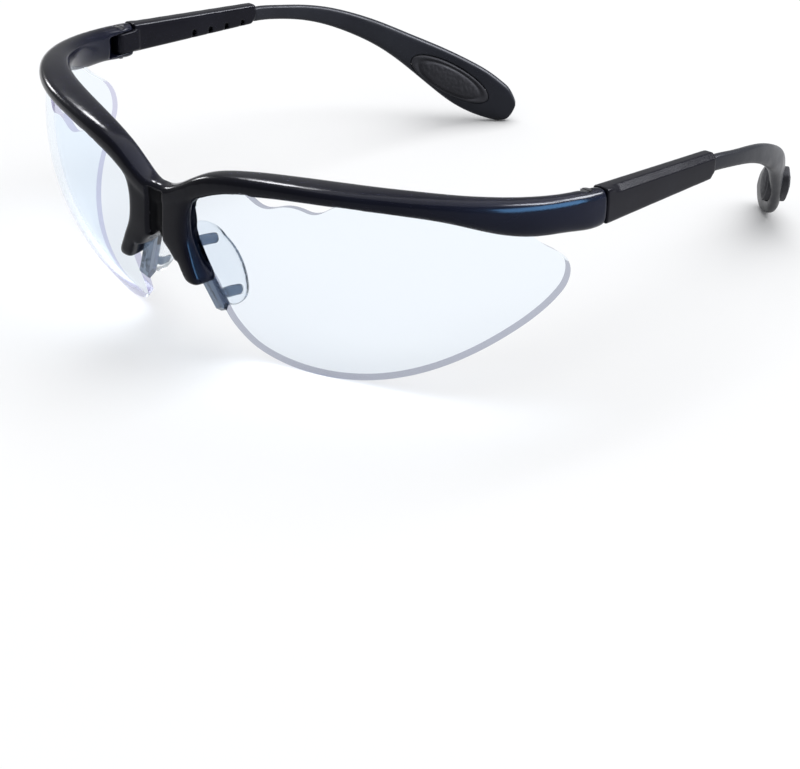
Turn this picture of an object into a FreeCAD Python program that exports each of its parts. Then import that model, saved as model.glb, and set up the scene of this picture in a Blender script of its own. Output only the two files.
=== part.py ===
import FreeCAD, Part
import math
import os
from FreeCAD import Placement, Rotation, Vector

# Sports protective goggles with length-adjusting temples.
# Millimetres. X runs across the face (+X is the wearer's left), Y runs back along
# the temples, Z is up. The origin is at the middle of the bounding box's bottom:
# the goggles rest on both lens bottoms and both temple tips, at Z = 0.

doc = FreeCAD.newDocument("sports_goggles")

# --- driving dimensions -------------------------------------------------------

DIMENSIONS = [
    # lens: a slice of a sphere
    ("lens_radius", 52.9),
    ("lens_thickness", 1.7),
    ("lens_centre_x", 17.8),
    ("lens_centre_y", -23.1),
    ("lens_centre_z", 33.9),
    ("lens_turn", 35.0),
    ("groove_clearance", 0.06),
    # temple hinge
    ("joint_plane_y", -24.9),
    ("joint_gap", 0.15),
    ("hinge_axis_x", 69.3),
    ("hinge_axis_y", -28.4),
    ("hinge_middle_z", 37.8),
    ("knuckle_radius", 1.5),
    ("knuckle_length", 4.7),
    ("recess_length", 5.0),
    ("recess_depth_y", 8.0),
    ("recess_wall_gap", 0.1),
    ("flange_radius", 3.5),
    ("screw_radius", 0.6),
    ("screw_clearance", 0.05),
    ("screw_head_radius", 1.05),
    ("screw_head_length", 0.6),
    ("screw_slot_width", 0.3),
    # temple sleeve
    ("sleeve_length", 36.9),
    ("sleeve_front_width", 4.1),
    ("sleeve_front_height", 7.6),
    ("sleeve_rear_width", 3.5),
    ("sleeve_rear_height", 5.6),
    ("sleeve_front_x", 70.05),
    ("sleeve_rear_x", 68.75),
    ("sleeve_rear_z", 35.8),
    ("sleeve_rear_chamfer", 1.3),
    ("sleeve_low_slant", 1.1),
    ("channel_width", 2.0),
    ("channel_height", 3.5),
    ("channel_floor", 3.5),
    ("ratchet_pitch", 5.0),
    ("ratchet_count", 4.0),
    ("ratchet_cut_width", 1.1),
    ("ratchet_cut_height", 2.7),
    ("ratchet_start", 4.8),
    # temple arm
    ("tail_width", 1.6),
    ("tail_height", 3.1),
    ("tail_length", 26.0),
    ("arm_bend_radius", 85.0),
    ("arm_front_thickness", 2.0),
    ("paddle_thickness", 3.2),
    # tip pad
    ("pad_station", 55.9),
    ("pad_height_z", 11.9),
    ("pad_half_length", 11.6),
    ("pad_half_height", 3.7),
    ("pad_slope", 30.4),
    ("pad_proud", 1.5),
    # nose pad and its holder
    ("bar_width", 2.4),
    ("bar_depth", 2.4),
    ("bar_length", 16.8),
    ("bar_point", 1.0),
    ("prong_radius", 1.1),
    ("upper_prong_at", -0.6),
    ("lower_prong_at", 11.0),
    ("upper_prong_reach", 6.2),
    ("lower_prong_reach", 5.8),
    ("holder_clearance", 0.05),
    ("nose_pad_thickness", 3.4),
    ("nose_pad_reach", 8.6),
    ("nose_pad_corner", 1.5),
    ("nose_pad_fillet", 1.1),
]

sheet = doc.addObject("Spreadsheet::Sheet", "Dimensions")
for row, (name, value) in enumerate(DIMENSIONS, start=1):
    sheet.set("A%d" % row, name)
    sheet.set("B%d" % row, str(value))
    sheet.setAlias("B%d" % row, name)
doc.recompute()


def dim(name):
    return float(getattr(sheet, name))


def bind(obj, prop, formula):
    """Binds a property to a formula of sheet aliases, written with a leading @."""
    obj.setExpression(prop, formula.replace("@", "Dimensions."))


def cylinder(name, radius, height, base, axis=Vector(0, 0, 1)):
    obj = doc.addObject("Part::Cylinder", name)
    bind(obj, "Radius", radius)
    bind(obj, "Height", height)
    obj.Placement = Placement(base, Rotation(Vector(0, 0, 1), axis))
    return obj


def boolean(kind, name, base, tool):
    obj = doc.addObject("Part::" + kind, name)
    obj.Base = base
    obj.Tool = tool
    return obj


def feature(name, shape):
    obj = doc.addObject("Part::Feature", name)
    obj.Shape = shape
    return obj


def mirrored(name, source):
    obj = doc.addObject("Part::Mirroring", name)
    obj.Source = source
    obj.Base = Vector(0, 0, 0)
    obj.Normal = Vector(1, 0, 0)
    obj.Label = name
    return obj


def rounded_section(centre, side, rise, half_side, half_rise, power=2.8, points=20, lift=0.0):
    """A closed superellipse wire about centre, spanned by two unit directions.

    The low edge can be lifted at the end away from side.
    """
    ring = []
    for i in range(points):
        turn = 2 * math.pi * (i + 0.5) / points
        c = math.cos(turn)
        s = math.sin(turn)
        u = half_side * math.copysign(abs(c) ** (2 / power), c)
        v = half_rise * math.copysign(abs(s) ** (2 / power), s)
        v += lift * (1 - u / half_side) / 2 * max(0, -v / half_rise)
        ring.append(centre + side * u + rise * v)
    curve = Part.BSplineCurve()
    curve.interpolate(Points=ring, PeriodicFlag=True)
    return Part.Wire([curve.toShape()])


# --- lens ---------------------------------------------------------------------

lens_centre = Vector(dim("lens_centre_x"), dim("lens_centre_y"), dim("lens_centre_z"))
lens_view = math.radians(dim("lens_turn"))
lens_across = Vector(math.cos(lens_view), math.sin(lens_view), 0)
lens_out = Vector(math.sin(lens_view), -math.cos(lens_view), 0)


# The outline of the front surface, seen along lens_out: distance across from the
# sphere's centre, and height. It runs down the nose edge, round the bottom and the
# pointed rear end, then along the top edge hidden in the brow bar and the vent's waves.
LENS_OUTLINE = [(-38.3, 30.5), (-38.2, 27.5), (-37.6, 24.5), (-36.3, 21.6), (-33.6, 18.5), (-32.2, 15.0),
                (-31.1, 11.5), (-29.9, 8.6), (-28.1, 5.8), (-25.9, 3.4), (-22.5, 1.6), (-18.2, 0.5),
                (-12.2, 0.0), (-5.5, 0.3), (1.5, 1.6), (9.4, 4.2), (18.0, 8.3), (25.9, 13.1),
                (31.6, 17.2), (35.1, 20.6), (36.8, 23.3), (37.3, 25.9), (36.8, 28.5), (35.1, 30.9),
                (32.2, 33.4), (29.4, 36.2), (24.4, 39.2), (17.7, 41.4), (8.2, 42.6), (-2.0, 42.8),
                (-5.6, 42.1), (-7.5, 41.1), (-9.1, 40.2), (-11.0, 39.9), (-12.8, 40.3), (-14.6, 40.5),
                (-16.4, 40.3), (-18.5, 39.6), (-20.4, 39.2), (-22.1, 39.5), (-23.9, 40.4),
                (-26.6, 41.2), (-30.0, 40.2), (-33.6, 38.4), (-36.0, 36.8), (-37.7, 34.6)]


def lens_cone(grow):
    """A cone from the sphere's centre through the outline, grown by a clearance."""
    mid_u = sum(u for u, z in LENS_OUTLINE) / len(LENS_OUTLINE)
    mid_z = sum(z for u, z in LENS_OUTLINE) / len(LENS_OUTLINE)
    rings = []
    for depth in (dim("lens_radius") * 0.4, dim("lens_radius") * 1.2):
        ring = []
        for u, z in LENS_OUTLINE:
            stretch = 1 + grow / math.hypot(u - mid_u, z - mid_z)
            across = mid_u + (u - mid_u) * stretch
            rise = mid_z + (z - mid_z) * stretch - lens_centre.z
            shrink = depth / math.sqrt(dim("lens_radius") ** 2 - across ** 2 - rise ** 2)
            ring.append(lens_centre + lens_out * depth + lens_across * (across * shrink)
                        + Vector(0, 0, rise * shrink))
        curve = Part.BSplineCurve()
        curve.interpolate(Points=ring, PeriodicFlag=True)
        rings.append(Part.Wire([curve.toShape()]))
    return Part.makeLoft(rings, True, True)


def lens_solid(grow=0.0):
    outer = Part.makeSphere(dim("lens_radius") + grow, lens_centre)
    inner = Part.makeSphere(dim("lens_radius") - dim("lens_thickness") - grow, lens_centre)
    return outer.cut(inner).common(lens_cone(grow)).Solids[0]


left_lens = feature("left_lens", lens_solid())

# --- nose pad holder and nose pad ----------------------------------------------

# The holder's own frame: Y runs back along the prongs, X down square to them, and Z is
# sideways. The bar leans back by bar_lean from X.
bar_top = Vector(5.6, -72.7, 24.0)
bar_end = Vector(11.5, -70.2, 12.3)
bar_down = (bar_end - bar_top).normalize()
prong_back = Vector(0.2, 0.97, -0.07).normalize()
bar_side = bar_down.cross(prong_back).normalize()
bar_square = prong_back.cross(bar_side)
bar_lean = math.atan2(bar_down.dot(prong_back), bar_down.dot(bar_square))
bar_place = Placement(bar_top, Rotation(bar_square, prong_back, bar_side, "XYZ"))


def beside_bar(along, back):
    """A point of the holder's XY plane: so far along the bar, then back along a prong."""
    return Vector(along * math.cos(bar_lean), along * math.sin(bar_lean) + back, 0)


def square_to_bar(along, back):
    """A point of the holder's XY plane: so far along the bar, then back square to it."""
    return Vector(along * math.cos(bar_lean) - back * math.sin(bar_lean),
                  along * math.sin(bar_lean) + back * math.cos(bar_lean), 0)


def origin_plane(body, role):
    return [f for f in body.Origin.OriginFeatures if f.Role == role][0]


def new_sketch(body, name, role, offset=0.0):
    sketch = body.newObject("Sketcher::SketchObject", name)
    sketch.AttachmentSupport = [(origin_plane(body, role), "")]
    sketch.MapMode = "FlatFace"
    sketch.AttachmentOffset = Placement(Vector(0, 0, offset), Rotation())
    return sketch


def close_lines(sketch, points):
    for i, point in enumerate(points):
        sketch.addGeometry(Part.LineSegment(point, points[(i + 1) % len(points)]), False)


def prong_sketch(body, name, which, radius):
    """A circle square to the prongs, on the bar's middle line."""
    centre = beside_bar(dim(which + "_prong_at"), 0)
    sketch = new_sketch(body, which.capitalize() + name, "XZ_Plane", -centre.y)
    circle = Part.Circle(Vector(centre.x, 0, 0), Vector(0, 0, 1), radius)
    sketch.addGeometry(circle, False)
    return sketch


holder = doc.addObject("PartDesign::Body", "left_pad_holder")
bar_start = -2.0
bar_outline = new_sketch(holder, "BarOutline", "XY_Plane")
half_depth = dim("bar_depth") / 2
stop = bar_start + dim("bar_length")
close_lines(bar_outline, [square_to_bar(bar_start, -half_depth),
                          square_to_bar(stop - dim("bar_point"), -half_depth),
                          square_to_bar(stop, -half_depth / 3),
                          square_to_bar(stop - dim("bar_point"), half_depth),
                          square_to_bar(bar_start, half_depth)])
bar_pad = holder.newObject("PartDesign::Pad", "Bar")
bar_pad.Profile = bar_outline
bind(bar_pad, "Length", "@bar_width")
bar_pad.Midplane = True
for which in ("upper", "lower"):
    prong = holder.newObject("PartDesign::Pad", which.capitalize() + "Prong")
    prong.Profile = prong_sketch(holder, "ProngRing", which, dim("prong_radius"))
    bind(prong, "Length", "@%s_prong_reach" % which)
    prong.Reversed = True
holder.Placement = bar_place
doc.recompute()
ends = []
for i, edge in enumerate(holder.Shape.Edges, start=1):
    local = bar_place.inverse().multVec(edge.BoundBox.Center)
    if local.y > 4 and edge.Curve.TypeId == "Part::GeomCircle":
        ends.append("Edge%d" % i)
dome = holder.newObject("PartDesign::Fillet", "ProngDomes")
dome.Base = (prong, ends)
dome.Radius = dim("prong_radius") * 0.8
holder.Tip = dome

nose_pad = doc.addObject("PartDesign::Body", "left_nose_pad")
outline = new_sketch(nose_pad, "PadOutline", "XY_Plane")
pad_top = -5.0
pad_low = 13.8
front = half_depth / math.cos(bar_lean) + 5 * dim("holder_clearance")
reach = dim("nose_pad_reach")
# a D: straight along the bar, one long shallow arc at the back, round corners
start = beside_bar(pad_top + 0.6, front)
upper = beside_bar(pad_top + 4.2, reach - 0.8)
lower = beside_bar(pad_low - 3.4, reach - 1.3)
finish = beside_bar(pad_low, front)
arcs = [(start, beside_bar(pad_top + 0.7, front + 4.2), upper),
        (upper, beside_bar((pad_top + pad_low) / 2, reach), lower),
        (lower, beside_bar(pad_low - 0.7, front + 3.8), finish)]
for first, middle, last in arcs:
    outline.addGeometry(Part.Arc(first, middle, last), False)
outline.addGeometry(Part.LineSegment(finish, start), False)
slab = nose_pad.newObject("PartDesign::Pad", "Slab")
slab.Profile = outline
bind(slab, "Length", "@nose_pad_thickness")
slab.Midplane = True
doc.recompute()
corner_edges = ["Edge%d" % i for i, e in enumerate(slab.Shape.Edges, start=1)
                if e.BoundBox.ZLength > 1]
corners = nose_pad.newObject("PartDesign::Fillet", "RoundCorners")
corners.Base = (slab, corner_edges)
bind(corners, "Radius", "@nose_pad_corner")
doc.recompute()
rims = ["Edge%d" % i for i, e in enumerate(corners.Shape.Edges, start=1)
        if e.BoundBox.ZLength < 0.01]
soft_rim = nose_pad.newObject("PartDesign::Fillet", "SoftRim")
soft_rim.Base = (corners, rims)
bind(soft_rim, "Radius", "@nose_pad_fillet")
for which in ("upper", "lower"):
    hole = nose_pad.newObject("PartDesign::Pocket", which.capitalize() + "Hole")
    hole.Profile = prong_sketch(nose_pad, "HoleRing", which,
                                dim("prong_radius") + dim("holder_clearance"))
    bind(hole, "Length", "@%s_prong_reach + @holder_clearance" % which)
    hole.Reversed = False
nose_pad.Placement = bar_place
doc.recompute()

# --- front frame ----------------------------------------------------------------

# Stations of the brow bar, from the middle of the bridge to the temple joint:
# the section's centre, the bar's heading seen from above, half the section's depth
# and half its height.
BROW = [
    (0.0, -75.2, 34.1, 0, 2.4, 2.5),
    (4.0, -75.0, 34.85, 2, 2.6, 2.35),
    (8.0, -74.6, 36.8, 4, 2.8, 2.5),
    (12.0, -74.2, 38.9, 7, 2.9, 2.5),
    (20.0, -72.9, 41.25, 12, 3.35, 2.15),
    (30.0, -70.4, 42.6, 17, 3.75, 1.85),
    (40.0, -67.0, 43.2, 24, 3.85, 1.8),
    (50.0, -61.8, 43.15, 33, 3.45, 2.0),
    (57.5, -55.7, 42.3, 45, 3.1, 2.4),
    (63.2, -48.7, 40.6, 57, 2.8, 3.35),
    (66.9, -41.5, 39.3, 69, 2.5, 3.85),
    (69.2, -33.5, 38.5, 79, 2.3, 3.85),
    (70.1, -24.9, 37.75, 90, 2.1, 3.85),
]
WORLD_UP = Vector(0, 0, 1)


def brow_half():
    rings = []
    for x, y, z, heading, half_depth_here, half_height in BROW:
        turn = math.radians(heading)
        outward = Vector(math.sin(turn), -math.cos(turn), 0)
        rings.append(rounded_section(Vector(x, y, z), outward, WORLD_UP,
                                     half_depth_here, half_height))
    return Part.makeLoft(rings, True, False)


# Level sections of one nose leg, from inside the brow bar down to its foot: height,
# inner and outer x, front and rear y. The two legs meet in the middle as the bridge.
LEG = [
    (36.4, 3.0, 11.2, -77.0, -73.4),
    (34.9, -0.9, 9.9, -77.2, -73.2),
    (33.4, -0.9, 9.1, -77.4, -72.9),
    (31.5, -0.9, 8.7, -77.5, -72.6),
    (29.5, -0.8, 8.6, -77.6, -72.4),
    (27.0, -0.4, 8.8, -77.7, -72.2),
    (25.4, 1.0, 9.3, -77.7, -72.0),
    (24.0, 2.9, 9.9, -77.7, -71.9),
    (22.0, 5.0, 10.7, -77.7, -71.6),
    (19.8, 6.9, 11.7, -77.6, -71.3),
    (18.6, 7.9, 11.9, -77.4, -71.2),
    (18.0, 8.5, 11.5, -77.0, -71.4),
]


def leg_half():
    rings = []
    for z, inner, outer, front_y, rear_y in LEG:
        centre = Vector((inner + outer) / 2, (front_y + rear_y) / 2, z)
        rings.append(rounded_section(centre, Vector(1, 0, 0), Vector(0, 1, 0),
                                     (outer - inner) / 2, (rear_y - front_y) / 2, 4.4))
    beyond = Part.makeBox(4, 20, 60, Vector(-4, -90, 0))
    return Part.makeLoft(rings, True, False).cut(beyond)


def box_between(low, high):
    size = high - low
    return Part.makeBox(size.x, size.y, size.z, low)


hinge_base = Vector(dim("hinge_axis_x"), dim("hinge_axis_y"), 0)
hinge_low = dim("hinge_middle_z") - dim("recess_length") / 2
hinge_high = dim("hinge_middle_z") + dim("recess_length") / 2


def hinge_recess():
    wall_x = dim("hinge_axis_x") + dim("knuckle_radius") + dim("recess_wall_gap")
    pocket = box_between(
        Vector(wall_x - 8, dim("joint_plane_y") - dim("recess_depth_y"), hinge_low),
        Vector(wall_x, dim("joint_plane_y") + 1, hinge_high))
    corner = box_between(
        Vector(hinge_base.x - 8, hinge_base.y, 30),
        Vector(hinge_base.x, dim("joint_plane_y") + 1, 45))
    rounding = Part.makeCylinder(dim("flange_radius"), 20, Vector(hinge_base.x, hinge_base.y, 28))
    hole = Part.makeCylinder(dim("screw_radius") + dim("screw_clearance"), 20,
                             Vector(hinge_base.x, hinge_base.y, 28))
    seat = Part.makeCylinder(dim("screw_head_radius") + dim("screw_clearance"), 5,
                             Vector(hinge_base.x, hinge_base.y, screw_head_z()))
    return [pocket, corner.cut(rounding), hole, seat]


def screw_head_z():
    return hinge_high + 0.9


def holder_channel():
    """The bar's bed in the back of the leg and the window that shows its tongue."""
    gap = dim("holder_clearance")
    half_width = dim("bar_width") / 2 + gap
    bed = Part.makeBox(dim("bar_length") + 2 * gap, 8, 2 * half_width,
                       Vector(bar_start - gap, -dim("bar_depth") / 2 - gap, -half_width))
    window = Part.makeBox(6.4, 8, 1.5, Vector(1.2, -8, -0.75))
    for tool in (bed, window):
        tool.Placement = bar_place.multiply(
            Placement(Vector(0, 0, 0), Rotation(Vector(0, 0, 1), math.degrees(bar_lean))))
    return [bed, window]


half = brow_half().fuse(leg_half())
for tool in hinge_recess() + holder_channel() + [lens_solid(dim("groove_clearance"))]:
    half = half.cut(tool)
mirror_half = half.mirror(Vector(0, 0, 0), Vector(1, 0, 0))
whole = half.fuse(mirror_half)
front_frame = feature("front_frame", max(whole.Solids, key=lambda s: s.Volume))

# --- hinge screw ------------------------------------------------------------------

screw_bottom = hinge_low - 1.2
shank = cylinder("ScrewShank", "@screw_radius", "%f" % (screw_head_z() - screw_bottom + 0.1),
                 Vector(hinge_base.x, hinge_base.y, screw_bottom))
head = cylinder("ScrewHead", "@screw_head_radius", "@screw_head_length",
                Vector(hinge_base.x, hinge_base.y, screw_head_z()))
screw_blank = boolean("Fuse", "ScrewBlank", shank, head)
slot = doc.addObject("Part::Box", "DriverSlot")
bind(slot, "Width", "@screw_slot_width")
slot.Length = 4
slot.Height = 1
slot.Placement = Placement(
    Vector(hinge_base.x - 2, hinge_base.y - dim("screw_slot_width") / 2,
           screw_head_z() + dim("screw_head_length") * 0.5), Rotation())
left_hinge_screw = boolean("Cut", "left_hinge_screw", screw_blank, slot)

# --- temple sleeve ------------------------------------------------------------------

sleeve_front_y = dim("joint_plane_y") + dim("joint_gap")
sleeve_rear_y = sleeve_front_y + dim("sleeve_length")
sleeve_front = Vector(dim("sleeve_front_x"), sleeve_front_y, dim("hinge_middle_z"))
sleeve_rear = Vector(dim("sleeve_rear_x"), sleeve_rear_y, dim("sleeve_rear_z"))
slide_axis = (sleeve_rear - sleeve_front).normalize()
slide_side = Vector(slide_axis.y, -slide_axis.x, 0).normalize()
slide_up = slide_side.cross(slide_axis)


def sleeve_section(share, low_rise=0.0):
    """The rectangular section at a share of the length, its low edge raised at will."""
    width = dim("sleeve_front_width") * (1 - share) + dim("sleeve_rear_width") * share
    height = dim("sleeve_front_height") * (1 - share) + dim("sleeve_rear_height") * share
    centre = sleeve_front + (sleeve_rear - sleeve_front) * share + WORLD_UP * (low_rise / 2)
    return rounded_section(centre, Vector(1, 0, 0), WORLD_UP, width / 2,
                           (height - low_rise) / 2, 7.0, 28, dim("sleeve_low_slant"))


chamfer_share = 1 - dim("sleeve_rear_chamfer") / dim("sleeve_length")
sleeve_rings = [sleeve_section(0), sleeve_section(chamfer_share),
                sleeve_section(1, dim("sleeve_rear_chamfer"))]
sleeve_shell = feature("SleeveShell", Part.makeLoft(sleeve_rings, True, True))

slide_place = Placement(sleeve_rear, Rotation(slide_side, slide_axis, slide_up, "XYZ"))
channel_length = dim("sleeve_length") - dim("channel_floor")
channel = doc.addObject("Part::Box", "Channel")
bind(channel, "Length", "@channel_width")
bind(channel, "Width", "@sleeve_length - @channel_floor + 1")
bind(channel, "Height", "@channel_height")
channel.Placement = slide_place.multiply(
    Placement(Vector(-dim("channel_width") / 2, -channel_length, -dim("channel_height") / 2),
              Rotation()))
neck_height = dim("knuckle_length")
neck = doc.addObject("Part::Box", "Neck")
bind(neck, "Length", "2 * @knuckle_radius")
bind(neck, "Height", "@knuckle_length")
neck.Width = sleeve_front_y - hinge_base.y + 1.0
knuckle_base = Vector(hinge_base.x, hinge_base.y, dim("hinge_middle_z") - neck_height / 2)
neck.Placement = Placement(knuckle_base - Vector(dim("knuckle_radius"), 0, 0), Rotation())
knuckle = cylinder("Knuckle", "@knuckle_radius", "@knuckle_length", knuckle_base)
pin_hole = cylinder("PinHole", "@screw_radius + @screw_clearance", "@knuckle_length + 4",
                    knuckle_base - Vector(0, 0, 2))
ratchet_cuts = []
for i in range(int(dim("ratchet_count"))):
    cut = doc.addObject("Part::Box", "RatchetCut%d" % (i + 1))
    cut.Length = 2.2
    bind(cut, "Width", "@ratchet_cut_width")
    bind(cut, "Height", "@ratchet_cut_height")
    at = -dim("ratchet_start") - dim("ratchet_pitch") * i
    cut.Placement = slide_place.multiply(
        Placement(Vector(-dim("sleeve_rear_width") / 2 - 1.2, at, -dim("sleeve_rear_height") / 2 - 0.3),
                  Rotation(Vector(1, 0, 0), 0)))
    ratchet_cuts.append(cut)
hinge_end = boolean("Fuse", "HingeEnd", knuckle, neck)
sleeve_solid = boolean("Fuse", "SleeveSolid", sleeve_shell, hinge_end)
sleeve_hollow = boolean("Cut", "SleeveHollow", sleeve_solid, channel)
sleeve_bored = boolean("Cut", "SleeveBored", sleeve_hollow, pin_hole)
rack = doc.addObject("Part::MultiFuse", "RatchetRack")
rack.Shapes = ratchet_cuts
left_temple_sleeve = boolean("Cut", "left_temple_sleeve", sleeve_bored, rack)

# --- temple arm ----------------------------------------------------------------------

# Stations along the bent strip from the sleeve's mouth: distance, top and bottom height.
# The last stations close the paddle's round end.
ARM = [
    (0.4, 37.5, 34.0),
    (8.0, 36.5, 33.0),
    (15.0, 35.3, 31.5),
    (22.0, 33.7, 29.2),
    (30.0, 31.0, 25.5),
    (38.0, 27.6, 20.7),
    (46.0, 23.7, 14.2),
    (51.5, 21.1, 9.3),
    (57.0, 18.4, 4.9),
    (62.3, 15.6, 2.0),
    (66.3, 13.2, 0.6),
    (69.6, 10.7, 0.1),
    (72.1, 8.5, 0.9),
    (73.5, 6.6, 2.6),
]
bend = dim("arm_bend_radius")
bend_centre = Vector(sleeve_rear.x - bend, sleeve_rear.y, 0)


def arm_point(s, z, out=0.0):
    turn = s / bend
    reach_here = bend + out
    return bend_centre + Vector(reach_here * math.cos(turn), reach_here * math.sin(turn), z)


def arm_thickness(s):
    thin = dim("arm_front_thickness")
    thick = dim("paddle_thickness")
    blend = min(max((s - 10) / 35, 0), 1)
    blend = blend * blend * (3 - 2 * blend)
    taper = 1 - 0.35 * max(0, (s - 68) / 6.2) ** 2
    return (thin + (thick - thin) * blend) * taper


def arm_solid():
    rings = []
    for s, top, bottom in ARM:
        turn = s / bend
        outward = Vector(math.cos(turn), math.sin(turn), 0)
        rings.append(rounded_section(arm_point(s, (top + bottom) / 2), outward, WORLD_UP,
                                     arm_thickness(s) / 2, (top - bottom) / 2, 3.2))
    strip = Part.makeLoft(rings, True, False)
    tail = Part.makeBox(dim("tail_width"), dim("tail_length") + 0.6, dim("tail_height"),
                        Vector(-dim("tail_width") / 2, -dim("tail_length"), -dim("tail_height") / 2))
    tail = tail.makeChamfer(0.3, tail.Edges)
    tail.Placement = slide_place
    return strip, tail


pad_turn = dim("pad_station") / bend
pad_middle = arm_point(dim("pad_station"), dim("pad_height_z"))
pad_out = Vector(math.cos(pad_turn), math.sin(pad_turn), 0)
pad_level = Vector(-math.sin(pad_turn), math.cos(pad_turn), 0)
slope = math.radians(dim("pad_slope"))
pad_along = pad_level * math.cos(slope) - WORLD_UP * math.sin(slope)
pad_across = pad_out.cross(pad_along)
pad_place = Placement(pad_middle, Rotation(pad_along, pad_across, pad_out, "XYZ"))


def pad_prism(gap, length):
    ring = Part.Ellipse(Vector(0, 0, -length / 2), dim("pad_half_length") + gap,
                        dim("pad_half_height") + gap)
    solid = Part.Face(Part.Wire([ring.toShape()])).extrude(Vector(0, 0, length))
    solid.Placement = pad_place
    return solid


strip, tail = arm_solid()
window = pad_prism(0.0, 12)
arm = strip.fuse(tail).cut(window).removeSplitter()
left_temple_arm = feature("left_temple_arm", max(arm.Solids, key=lambda s: s.Volume))

# --- tip pad ---------------------------------------------------------------------------

half_stack = dim("paddle_thickness") / 2 + dim("pad_proud")
crown = doc.addObject("Part::Ellipsoid", "PadCrown")
crown.Radius1 = half_stack
bind(crown, "Radius2", "@pad_half_length * 1.45")
bind(crown, "Radius3", "@pad_half_height * 1.6")
crown.Angle1 = -90
crown.Angle2 = 90
crown.Placement = pad_place
core = feature("PadCore", pad_prism(-0.05, 14))
left_tip_pad = boolean("Common", "left_tip_pad", crown, core)

# --- names, the other side, checks and export ---------------------------------------------

LEFT = [left_lens, holder, nose_pad, left_hinge_screw, left_temple_sleeve, left_temple_arm,
        left_tip_pad]
nodes = [front_frame]
front_frame.Label = "front_frame"
for piece in LEFT:
    piece.Label = piece.Name
    nodes.append(piece)
    nodes.append(mirrored(piece.Name.replace("left_", "right_"), piece))
doc.recompute()

for obj in doc.Objects:
    if "Invalid" in obj.State or "Error" in obj.State:
        raise RuntimeError("%s is %s" % (obj.Label, obj.State))

os.makedirs("parts", exist_ok=True)
for node in nodes:
    shape = node.Shape
    if shape.isNull() or not shape.isValid() or not shape.Solids:
        raise RuntimeError("bad shape in " + node.Label)
    shape.exportStep("parts/%s.step" % node.Label)
    box = shape.optimalBoundingBox(False)
    print("%-22s solids %d  volume %8.1f  x %6.2f..%6.2f  y %6.2f..%6.2f  z %6.2f..%6.2f" % (
        node.Label, len(shape.Solids), shape.Volume, box.XMin, box.XMax, box.YMin, box.YMax,
        box.ZMin, box.ZMax))
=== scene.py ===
import math

import bmesh
import bpy
from mathutils import Matrix, Vector, noise


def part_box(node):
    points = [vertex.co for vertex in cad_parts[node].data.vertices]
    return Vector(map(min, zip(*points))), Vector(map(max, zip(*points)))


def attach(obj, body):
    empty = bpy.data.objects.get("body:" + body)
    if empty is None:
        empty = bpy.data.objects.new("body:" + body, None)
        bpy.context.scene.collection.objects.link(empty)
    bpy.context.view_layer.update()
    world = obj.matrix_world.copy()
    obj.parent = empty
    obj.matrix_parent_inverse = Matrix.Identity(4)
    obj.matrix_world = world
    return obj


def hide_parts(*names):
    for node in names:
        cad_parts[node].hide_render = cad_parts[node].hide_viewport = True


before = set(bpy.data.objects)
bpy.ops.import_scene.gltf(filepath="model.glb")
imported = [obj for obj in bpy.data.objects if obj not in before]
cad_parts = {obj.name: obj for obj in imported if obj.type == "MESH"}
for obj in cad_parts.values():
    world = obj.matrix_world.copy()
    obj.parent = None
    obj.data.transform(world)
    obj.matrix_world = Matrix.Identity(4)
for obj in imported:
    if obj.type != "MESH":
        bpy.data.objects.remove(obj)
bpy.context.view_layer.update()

MM = 0.001
SIDES = (("left", 1), ("right", -1))

# camera: where it stands in the frame, how it is turned, and its focal length in mm
CAMERA_AT = Vector((312.981, -335.685, 199.460)) * MM
CAMERA_AZIMUTH = math.radians(43.508)
CAMERA_ELEVATION = math.radians(27.118)
CAMERA_ROLL = math.radians(0.906)
CAMERA_LENS = 98.99
CAMERA_SENSOR = 36
CAMERA_NEAR = 10 * MM

# floor: its half size, and how far it lies under the goggles
FLOOR_HALF = 4.0
FLOOR_GAP = 0.0001
FLOOR_CELLS = 8

# the point that the softboxes face
LIGHT_AIM = Vector((0, 0, 0.03))

# materials: where most of a noise's values lie, and the noise scales, per metre
NOISE_RANGE = (0.3, 0.7)
PLASTIC_CLOUD_SCALE = 55
PLASTIC_GLOSS_SCALE = 210
PLASTIC_TINT = (0.86, 0.89, 1.0)
CLEAR_DRIFT_SCALE = 35
CLEAR_GLOSS_SCALE = 160
STEEL_CLOUD_SCALE = 400
STEEL_GLOSS_SCALE = 300
STEEL_RING_SCALE = 500
FLOOR_CLOUD_SCALE = 3

# sockets of a Mix node that carry colours: inputs A and B, and the result
MIX_A, MIX_B, MIX_RESULT = 6, 7, 2

# lens: centre of the sphere that the left one is cut from, the painted rim shade of each lens
# (darkening and a lavender tint that stand in for refraction at the edges), and how that painted
# shade fades in as the surface turns away from the sphere's radius
LENS_CENTRE = (17.8 * MM, -23.1 * MM, 33.9 * MM)
LENS_RIM_SHADE = {"left": (0.26, 0.27, 0.34), "right": (0.50, 0.48, 0.66)}
RIM_FADE = (0.5, 0.8)

# moulded pieces: edge of the even mesh, and the number of smoothing steps
FRONT_MESH = (0.28 * MM, 20)
SLEEVE_MESH = (0.20 * MM, 8)
ARM_MESH = (0.24 * MM, 5)
TIP_MESH = (0.20 * MM, 1)
NOSE_MESH = (0.25 * MM, 6)

# tip pad: how it is turned on its arm, its half length and half height, and its rim groove
PAD_TURN = 55.9 / 85
PAD_SLOPE = math.radians(30.4)
PAD_HALF = (11.6 * MM, 3.7 * MM)
GROOVE_AT = 0.80
GROOVE_WIDTH = 0.07
GROOVE_DEPTH = 0.45 * MM
PAD_GRAIN = 0.10 * MM
PAD_GRAIN_SCALE = 1500

# sunk panel in the middle of the bridge
PANEL_HALF = 2.0 * MM
PANEL_LOW = 25 * MM
PANEL_HIGH = 35.2 * MM
PANEL_EDGE = 0.6 * MM
PANEL_DEPTH = 0.7 * MM
PANEL_FRONT = -0.3

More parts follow.
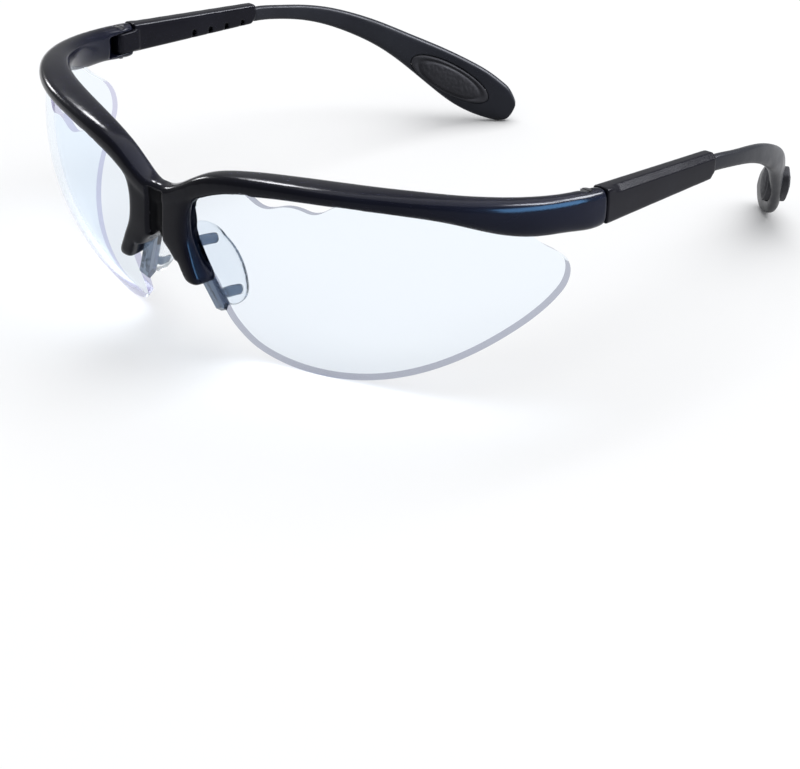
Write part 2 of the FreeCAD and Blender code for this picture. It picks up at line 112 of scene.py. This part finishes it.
# flat along the upper outer edge of a sleeve: its depth and the way it faces (outward, up);
# the sleeve is measured in steps along its length, and the flat starts after the first few
SLEEVE_FLAT = 0.55 * MM
SLEEVE_FLAT_FACES = (0.72, 0.69)
SLEEVE_STEPS = 40
SLEEVE_FADE_FROM = 6
SLEEVE_FADE_STEPS = 3
SLEEVE_FLAT_FROM = 8

# bend of the arms; then the length over which the paddle's end is rounded, the length of
# the slice that gives the end's height, the fullness of the rounding and how far it goes
BEND_RADIUS = 85 * MM
BEND_CENTRE = (-16.27 * MM, 12.18 * MM)
END_ROUND = 2.6 * MM
END_SLICE = 0.3 * MM
END_POWER = 2.2
END_LAST = 0.98

# nose pad: how far its crown reaches from its middle, and its height
NOSE_PAD_REACH = 8 * MM
NOSE_CROWN = 0.22 * MM


# ---------------------------------------------------------------- materials
class Nodes:
    """A material's node tree, with short calls for the nodes used here."""

    def __init__(self, name):
        self.material = bpy.data.materials.new(name)
        self.material.use_nodes = True
        self.tree = self.material.node_tree
        self.shader = self.tree.nodes["Principled BSDF"]
        self.output = self.tree.nodes["Material Output"]
        self.place = self.add("ShaderNodeTexCoord").outputs["Object"]

    def add(self, kind, **settings):
        node = self.tree.nodes.new(kind)
        for key, value in settings.items():
            setattr(node, key, value)
        return node

    def link(self, source, target):
        self.tree.links.new(source, target)

    def noise(self, scale, detail, stretch=None):
        place = self.place
        if stretch:
            mapping = self.add("ShaderNodeMapping")
            mapping.inputs["Scale"].default_value = stretch
            self.link(place, mapping.inputs["Vector"])
            place = mapping.outputs["Vector"]
        node = self.add("ShaderNodeTexNoise")
        node.inputs["Scale"].default_value = scale
        node.inputs["Detail"].default_value = detail
        self.link(place, node.inputs["Vector"])
        return node.outputs["Fac"]

    def spread(self, source, low, high, start=NOISE_RANGE[0], end=NOISE_RANGE[1]):
        """A value that runs from low to high as the source runs from start to end."""
        node = self.add("ShaderNodeMapRange")
        for key, value in (("From Min", start), ("From Max", end), ("To Min", low), ("To Max", high)):
            node.inputs[key].default_value = value
        self.link(source, node.inputs["Value"])
        return node.outputs["Result"]

    def colours(self, source, first, second):
        """A drift between two colours over the range of a noise."""
        node = self.add("ShaderNodeValToRGB")
        for element, position, colour in zip(node.color_ramp.elements, NOISE_RANGE, (first, second)):
            element.position = position
            element.color = (*colour, 1)
        self.link(source, node.inputs["Fac"])
        return node.outputs["Color"]

    def bump(self, height, distance):
        node = self.add("ShaderNodeBump")
        node.inputs["Strength"].default_value = 1.0
        node.inputs["Distance"].default_value = distance
        self.link(height, node.inputs["Height"])
        self.link(node.outputs["Normal"], self.shader.inputs["Normal"])

    def rim(self, colour, centre, edge_shade):
        """The colour, but a painted edge shade, which stands in for refraction, where the surface of
        a shell that is curved about a centre doesn't face along the radius, which is at the shell's
        edges."""
        outward = self.add("ShaderNodeVectorMath", operation="SUBTRACT")
        outward.inputs[1].default_value = centre
        self.link(self.place, outward.inputs[0])
        unit = self.add("ShaderNodeVectorMath", operation="NORMALIZE")
        self.link(outward.outputs["Vector"], unit.inputs[0])
        facing = self.add("ShaderNodeVectorMath", operation="DOT_PRODUCT")
        self.link(unit.outputs["Vector"], facing.inputs[0])
        self.link(self.place.node.outputs["Normal"], facing.inputs[1])
        size = self.add("ShaderNodeMath", operation="ABSOLUTE")
        self.link(facing.outputs["Value"], size.inputs[0])
        mix = self.add("ShaderNodeMix", data_type="RGBA")
        self.link(self.spread(size.outputs[0], 0, 1, *RIM_FADE), mix.inputs["Factor"])
        mix.inputs[MIX_A].default_value = (*edge_shade, 1)
        self.link(colour, mix.inputs[MIX_B])
        return mix.outputs[MIX_RESULT]

    def clear_shadow(self, tint):
        """Light passes straight through for shadow rays."""
        path = self.add("ShaderNodeLightPath")
        through = self.add("ShaderNodeBsdfTransparent")
        through.inputs["Color"].default_value = (*tint, 1)
        mix = self.add("ShaderNodeMixShader")
        self.link(path.outputs["Is Shadow Ray"], mix.inputs[0])
        self.link(self.shader.outputs["BSDF"], mix.inputs[1])
        self.link(through.outputs["BSDF"], mix.inputs[2])
        self.link(mix.outputs[0], self.output.inputs["Surface"])


def plastic(name, dark, light, rough, grain, depth, specular):
    """Moulded plastic: a faint cloud of colour, uneven gloss and a fine skin."""
    n = Nodes(name)
    n.link(n.colours(n.noise(PLASTIC_CLOUD_SCALE, 4), dark, light), n.shader.inputs["Base Color"])
    n.link(n.spread(n.noise(PLASTIC_GLOSS_SCALE, 5), *rough), n.shader.inputs["Roughness"])
    n.bump(n.noise(grain, 2), depth)
    n.shader.inputs["Specular IOR Level"].default_value = specular
    n.shader.inputs["Specular Tint"].default_value = (*PLASTIC_TINT, 1)
    return n.material


def clear(name, thin, thick, rough, ior, tint, grain=None, depth=0.0, rim=None):
    """Clear moulding: colour drifts between two tones, shadows take the tint, and rim is the
    centre and the painted edge shade of a curved shell, which stands in for refraction at its edges."""
    n = Nodes(name)
    colour = n.colours(n.noise(CLEAR_DRIFT_SCALE, 2), thin, thick)
    if rim:
        colour = n.rim(colour, *rim)
    n.link(colour, n.shader.inputs["Base Color"])
    n.link(n.spread(n.noise(CLEAR_GLOSS_SCALE, 3), *rough), n.shader.inputs["Roughness"])
    n.shader.inputs["Transmission Weight"].default_value = 1.0
    n.shader.inputs["IOR"].default_value = ior
    if grain:
        n.bump(n.noise(grain, 2), depth)
    n.clear_shadow(tint)
    return n.material


def steel():
    """Turned steel: fine rings of roughness about the screw's axis."""
    n = Nodes("screw_steel")
    n.link(n.colours(n.noise(STEEL_CLOUD_SCALE, 3), (0.10, 0.10, 0.11), (0.16, 0.16, 0.17)),
           n.shader.inputs["Base Color"])
    n.link(n.spread(n.noise(STEEL_GLOSS_SCALE, 3, stretch=(1, 1, 14)), 0.22, 0.42),
           n.shader.inputs["Roughness"])
    n.bump(n.noise(STEEL_RING_SCALE, 2, stretch=(1, 1, 20)), 0.00002)
    n.shader.inputs["Metallic"].default_value = 1.0
    return n.material


frame_black = plastic("frame_black", dark=(0.0016, 0.0015, 0.0032), light=(0.0034, 0.0034, 0.0062),
                      rough=(0.15, 0.21), grain=900, depth=0.000003, specular=0.13)
panel_black = plastic("panel_black", dark=(0.0008, 0.001, 0.0015), light=(0.002, 0.002, 0.003),
                      rough=(0.3, 0.4), grain=900, depth=0.000003, specular=0.03)
sleeve_black = plastic("sleeve_black", dark=(0.0022, 0.0021, 0.0038), light=(0.0045, 0.0045, 0.0072),
                       rough=(0.20, 0.26), grain=1500, depth=0.000003, specular=0.11)
arm_black = plastic("arm_black", dark=(0.005, 0.0055, 0.008), light=(0.010, 0.011, 0.015),
                    rough=(0.30, 0.42), grain=1500, depth=0.000008, specular=0.18)
tip_rubber = plastic("tip_rubber", dark=(0.008, 0.008, 0.010), light=(0.018, 0.018, 0.021),
                     rough=(0.6, 0.8), grain=2600, depth=0.00006, specular=0.3)
lens_clear = {}
# each lens gets painted shade at its rim, dark on the left lens and pale lavender on the right, in
# place of refraction
for side, sign in SIDES:
    lens_clear[side] = clear(side + "_lens_clear", thin=(0.915, 0.96, 1.0), thick=(0.905, 0.95, 1.0),
                             rough=(0.0, 0.012), ior=1.035, tint=(0.96, 0.98, 1.0),
                             rim=((sign * LENS_CENTRE[0], *LENS_CENTRE[1:]), LENS_RIM_SHADE[side]))
holder_smoke = clear("holder_smoke", thin=(0.20, 0.25, 0.32), thick=(0.14, 0.18, 0.25),
                     rough=(0.06, 0.14), ior=1.30, tint=(0.6, 0.66, 0.72), grain=900, depth=0.00001)
pad_clear = clear("pad_clear", thin=(0.93, 0.96, 0.98), thick=(0.86, 0.90, 0.94),
                  rough=(0.12, 0.24), ior=1.25, tint=(0.93, 0.95, 0.97), grain=1400, depth=0.00001)
screw_steel = steel()


def dress(node, material):
    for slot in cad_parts[node].material_slots:
        slot.material = material


for side, _ in SIDES:
    dress(side + "_lens", lens_clear[side])
    dress(side + "_pad_holder", holder_smoke)
    dress(side + "_hinge_screw", screw_steel)


# ---------------------------------------------------------------- moulded pieces
def moulded(name, node, body, material, mesh_finish, shape):
    """A finer moulding in place of a plain node: an even fine mesh, relaxed, then shaped."""
    rough = bpy.data.objects.new(name + "_rough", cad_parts[node].data.copy())
    bpy.context.scene.collection.objects.link(rough)
    even = rough.modifiers.new("even", "REMESH")
    even.mode = "VOXEL"
    soften = rough.modifiers.new("soften", "SMOOTH")
    soften.factor = 0.5
    even.voxel_size, soften.iterations = mesh_finish
    bpy.context.view_layer.update()
    mesh = bpy.data.meshes.new_from_object(
        rough.evaluated_get(bpy.context.evaluated_depsgraph_get()))
    mesh.name = name
    bpy.data.objects.remove(rough)
    # all normals are read first, because each move of a vertex makes them stale
    before = [(vertex.co.copy(), vertex.normal.copy()) for vertex in mesh.vertices]
    for vertex, (point, normal) in zip(mesh.vertices, before):
        vertex.co = shape(point, normal)
    mesh.polygons.foreach_set("use_smooth", [True] * len(mesh.polygons))
    mesh.materials.clear()
    mesh.materials.append(material)
    piece = bpy.data.objects.new(name, mesh)
    bpy.context.scene.collection.objects.link(piece)
    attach(piece, body)
    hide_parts(node)
    return piece


def middle(node):
    low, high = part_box(node)
    return (low + high) / 2


def smooth_step(share):
    share = min(1.0, max(0.0, share))
    return share * share * (3 - 2 * share)


def frame_shape(point, normal):
    """The front moulding, with a sunk panel down the middle of the bridge."""
    across = 1 - smooth_step((abs(point.x) - PANEL_HALF) / PANEL_EDGE)
    low = smooth_step((point.z - PANEL_LOW) / PANEL_EDGE)
    high = 1 - smooth_step((point.z - PANEL_HIGH) / PANEL_EDGE)
    facing = max(0.0, -normal.y)
    return point + Vector((0, 1, 0)) * (PANEL_DEPTH * across * low * high * facing)


def dull_panel(shell):
    """The sunk panel of the bridge has a duller skin."""
    shell.data.materials.append(panel_black)
    for face in shell.data.polygons:
        if (abs(face.center.x) < PANEL_HALF and PANEL_LOW < face.center.z < PANEL_HIGH
                and face.normal.y < PANEL_FRONT):
            face.material_index = 1


def sleeve_shape(side, sign):
    """The sleeve with its long upper outer edge cut to a flat, as deep all the way along."""
    toward = Vector((sign * SLEEVE_FLAT_FACES[0], 0, SLEEVE_FLAT_FACES[1]))
    low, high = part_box(side + "_temple_sleeve")

    def step(point):
        return (point.y - low.y) / (high.y - low.y) * SLEEVE_STEPS

    reach = {}
    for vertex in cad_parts[side + "_temple_sleeve"].data.vertices:
        place = round(step(vertex.co))
        reach[place] = max(reach.get(place, -1.0), vertex.co.dot(toward))
    first_at = min(place for place in reach if place >= SLEEVE_FLAT_FROM)
    last_at = max(reach)
    first, last = reach[first_at], reach[last_at]

    def shape(point, normal):
        place = step(point)
        limit = first + (last - first) * (place - first_at) / max(1, last_at - first_at)
        excess = point.dot(toward) - (limit - SLEEVE_FLAT)
        share = smooth_step((place - SLEEVE_FADE_FROM) / SLEEVE_FADE_STEPS)
        return point - toward * max(0.0, excess) * share
    return shape


def arm_shape(side, sign):
    """The arm with the flat end of its paddle rounded off."""
    def station(point):
        return math.atan2(point.y - BEND_CENTRE[1], sign * point.x - BEND_CENTRE[0]) * BEND_RADIUS

    points = [vertex.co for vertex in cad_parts[side + "_temple_arm"].data.vertices]
    end = max(station(point) for point in points)
    heights = [point.z for point in points if station(point) > end - END_SLICE]
    centre = (min(heights) + max(heights)) / 2

    def shape(point, normal):
        share = (station(point) - end + END_ROUND) / END_ROUND
        if share <= 0:
            return point
        keep = (1 - min(share, END_LAST) ** END_POWER) ** (1 / END_POWER)
        return Vector((point.x, point.y, centre + (point.z - centre) * keep))
    return shape


def tip_shape(side, sign):
    """A grained oval with a groove round it just inside the rim."""
    centre = middle(side + "_tip_pad")
    out = Vector((sign * math.cos(PAD_TURN), math.sin(PAD_TURN), 0))
    level = Vector((-sign * math.sin(PAD_TURN), math.cos(PAD_TURN), 0))
    along = level * math.cos(PAD_SLOPE) - Vector((0, 0, 1)) * math.sin(PAD_SLOPE)
    across = out.cross(along)

    def shape(point, normal):
        offset = point - centre
        ring = math.hypot(offset.dot(along) / PAD_HALF[0], offset.dot(across) / PAD_HALF[1])
        groove = math.exp(-((ring - GROOVE_AT) / GROOVE_WIDTH) ** 2) * GROOVE_DEPTH
        grain = 0.0
        if ring < GROOVE_AT - GROOVE_WIDTH:
            grain = noise.noise(point * PAD_GRAIN_SCALE) * PAD_GRAIN
        facing = math.copysign(1, offset.dot(out))
        return point + out * facing * (grain - groove) * abs(normal.dot(out))
    return shape


def nose_shape(side):
    """A soft pad that is fullest in its middle."""
    centre = middle(side + "_nose_pad")

    def shape(point, normal):
        share = (point - centre).length / NOSE_PAD_REACH
        return point + normal * NOSE_CROWN * max(0.0, 1 - share * share)
    return shape


front_shell = moulded("front_shell", "front_frame", "front", frame_black,
                      FRONT_MESH, frame_shape)
dull_panel(front_shell)

dark_pieces = [front_shell]
for side, sign in SIDES:
    dark_pieces.append(moulded(side + "_sleeve_shell", side + "_temple_sleeve", side + "_sleeve",
                               sleeve_black, SLEEVE_MESH, sleeve_shape(side, sign)))
    dark_pieces.append(moulded(side + "_arm_shell", side + "_temple_arm", side + "_arm",
                               arm_black, ARM_MESH, arm_shape(side, sign)))
for side, sign in SIDES:
    dark_pieces.append(moulded(side + "_tip_grip", side + "_tip_pad", side + "_arm",
                               tip_rubber, TIP_MESH, tip_shape(side, sign)))
    moulded(side + "_nose_cushion", side + "_nose_pad", "front",
            pad_clear, NOSE_MESH, nose_shape(side))


# ---------------------------------------------------------------- floor, light, camera
def stage_plane():
    mesh = bpy.data.meshes.new("floor")
    bm = bmesh.new()
    bmesh.ops.create_grid(bm, x_segments=FLOOR_CELLS, y_segments=FLOOR_CELLS, size=FLOOR_HALF)
    bmesh.ops.translate(bm, verts=bm.verts, vec=(0, 0, -FLOOR_GAP))
    bm.to_mesh(mesh)
    bm.free()
    floor = bpy.data.objects.new("floor", mesh)
    bpy.context.scene.collection.objects.link(floor)
    n = Nodes("floor_pale")
    n.link(n.colours(n.noise(FLOOR_CLOUD_SCALE, 2), (0.90, 0.90, 0.905), (0.92, 0.92, 0.925)),
           n.shader.inputs["Base Color"])
    n.shader.inputs["Roughness"].default_value = 0.9
    n.shader.inputs["Specular IOR Level"].default_value = 0.0
    mesh.materials.append(n.material)


def receivers_of(name, objects):
    """A collection of the only objects that a light is let fall on."""
    group = bpy.data.collections.new(name)
    for obj in objects:
        group.objects.link(obj)
    return group


def softbox(name, toward, distance, size, power, colour=(1, 1, 1), receivers=None):
    """A rectangular light that faces the goggles from a given direction."""
    data = bpy.data.lights.new(name, "AREA")
    data.shape = "RECTANGLE"
    data.size, data.size_y = size
    data.energy = power
    data.color = colour
    light = bpy.data.objects.new(name, data)
    direction = Vector(toward).normalized()
    light.location = direction * distance + LIGHT_AIM
    light.rotation_euler = direction.to_track_quat("Z", "Y").to_euler()
    light.visible_camera = False
    if receivers:
        light.light_linking.receiver_collection = receivers
    bpy.context.scene.collection.objects.link(light)


def world_light(colour, strength):
    world = bpy.data.worlds.new("studio")
    world.use_nodes = True
    background = world.node_tree.nodes["Background"]
    background.inputs["Color"].default_value = (*colour, 1)
    background.inputs["Strength"].default_value = strength
    bpy.context.scene.world = world


def camera():
    across = Vector((math.cos(CAMERA_AZIMUTH), math.sin(CAMERA_AZIMUTH), 0))
    tilt_sin, tilt_cos = math.sin(CAMERA_ELEVATION), math.cos(CAMERA_ELEVATION)
    upward = Vector((-across.y * tilt_sin, across.x * tilt_sin, tilt_cos))
    back = Vector((across.y * tilt_cos, -across.x * tilt_cos, tilt_sin))
    roll_sin, roll_cos = math.sin(CAMERA_ROLL), math.cos(CAMERA_ROLL)
    right = across * roll_cos + upward * roll_sin
    top = upward * roll_cos - across * roll_sin
    data = bpy.data.cameras.new("camera")
    data.lens = CAMERA_LENS
    data.sensor_width = CAMERA_SENSOR
    data.clip_start = CAMERA_NEAR
    obj = bpy.data.objects.new("camera", data)
    obj.matrix_world = Matrix(((right.x, top.x, back.x, CAMERA_AT.x),
                               (right.y, top.y, back.y, CAMERA_AT.y),
                               (right.z, top.z, back.z, CAMERA_AT.z),
                               (0, 0, 0, 1)))
    bpy.context.scene.collection.objects.link(obj)
    bpy.context.scene.camera = obj


stage_plane()
world_light((0.97, 0.985, 1.0), 0.46)
softbox("overhead", (0.1, 0.25, 1), 2.2, (3.0, 3.0), 54)

# streaks on the black parts, from lights that the floor and the lenses don't see
screws = [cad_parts[side + "_hinge_screw"] for side, _ in SIDES]
dark_parts = receivers_of("dark_parts", screws + dark_pieces)
front_parts = receivers_of("front_parts", [front_shell])
softbox("back_top", (-0.67, 0.29, 0.68), 1.3, (0.16, 0.20), 5, receivers=dark_parts)
softbox("side_top", (0.62, 0.38, 0.74), 1.3, (0.20, 0.44), 18, receivers=dark_parts)
softbox("sleeve_top", (0.476, 0.646, 0.587), 1.3, (0.34, 0.40), 20, receivers=dark_parts)
softbox("low_strip", (0.93, 0.22, 0.26), 1.2, (0.95, 0.46), 40, (0.20, 0.50, 0.88),
        receivers=front_parts)
softbox("far_low", (-0.93, 0.04, 0.36), 1.2, (0.16, 0.20), 3.0, receivers=dark_parts)
camera()
bpy.context.scene.view_settings.view_transform = "Standard"
